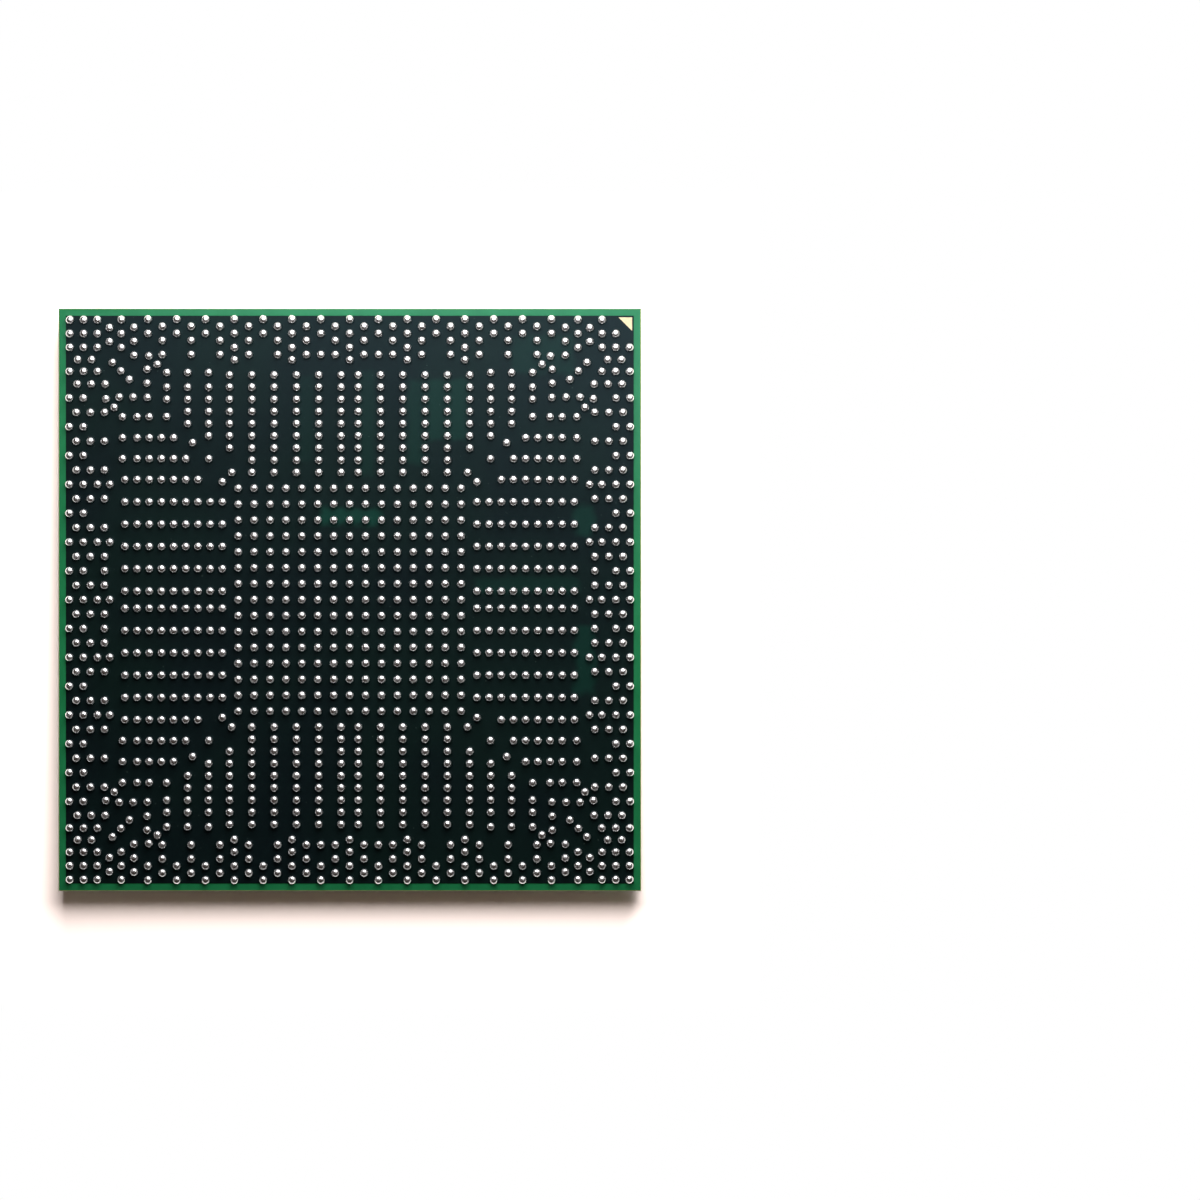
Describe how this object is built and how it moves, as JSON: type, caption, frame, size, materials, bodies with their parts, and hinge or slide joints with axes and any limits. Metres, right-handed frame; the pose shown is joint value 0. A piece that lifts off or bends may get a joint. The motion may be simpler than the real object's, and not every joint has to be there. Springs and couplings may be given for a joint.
{
  "type": "bga chip",
  "caption": "Flip-chip ball grid array package lying ball side up: green laminate, dark copper field, patterned solder balls, gold corner marker and a bare die underneath.",
  "frame": {"origin": "under the middle of the package, on the surface that the back of the die lies on", "axes": "+Z out of the ball side; X and Y along the laminate's sides, with the pin-one corner at +X +Y"},
  "size_m": [0.034, 0.034, 0.0025],
  "materials": {
    "laminate": "green solder mask over woven glass laminate, satin gloss",
    "plane_mask": "dark green solder mask over copper, satin gloss with faint mottling",
    "gold": "matt gold plate",
    "silicon": "ground back of a silicon die, dark grey, half gloss",
    "epoxy": "amber-grey underfill epoxy, smooth",
    "ceramic": "tan fired ceramic",
    "tin": "matt tin plate",
    "solder": "bright reflowed solder",
    "solder_ball": "bright solder balls, slightly frosted"
  },
  "bodies": {
    "root": {"substrate": "laminate", "copper_plane": "plane_mask", "pin_one_marker": "gold", "die_side_marker": "gold", "die": "silicon", "flip_chip_bumps": "solder", "underfill": "epoxy", "capacitor_bodies": "ceramic", "capacitor_terminals": "tin", "capacitor_solder": "solder", "balls_grid": "solder_ball", "balls_columns_north": "solder_ball", "balls_columns_east": "solder_ball", "balls_columns_south": "solder_ball", "balls_columns_west": "solder_ball", "balls_edge_north": "solder_ball", "balls_edge_east": "solder_ball", "balls_edge_south": "solder_ball", "balls_edge_west": "solder_ball", "balls_fan_ne": "solder_ball", "balls_fan_nw": "solder_ball", "balls_fan_sw": "solder_ball", "balls_fan_se": "solder_ball", "balls_corner_ne": "solder_ball", "balls_corner_nw": "solder_ball", "balls_corner_sw": "solder_ball", "balls_corner_se": "solder_ball"}
  },
  "joints": []
}
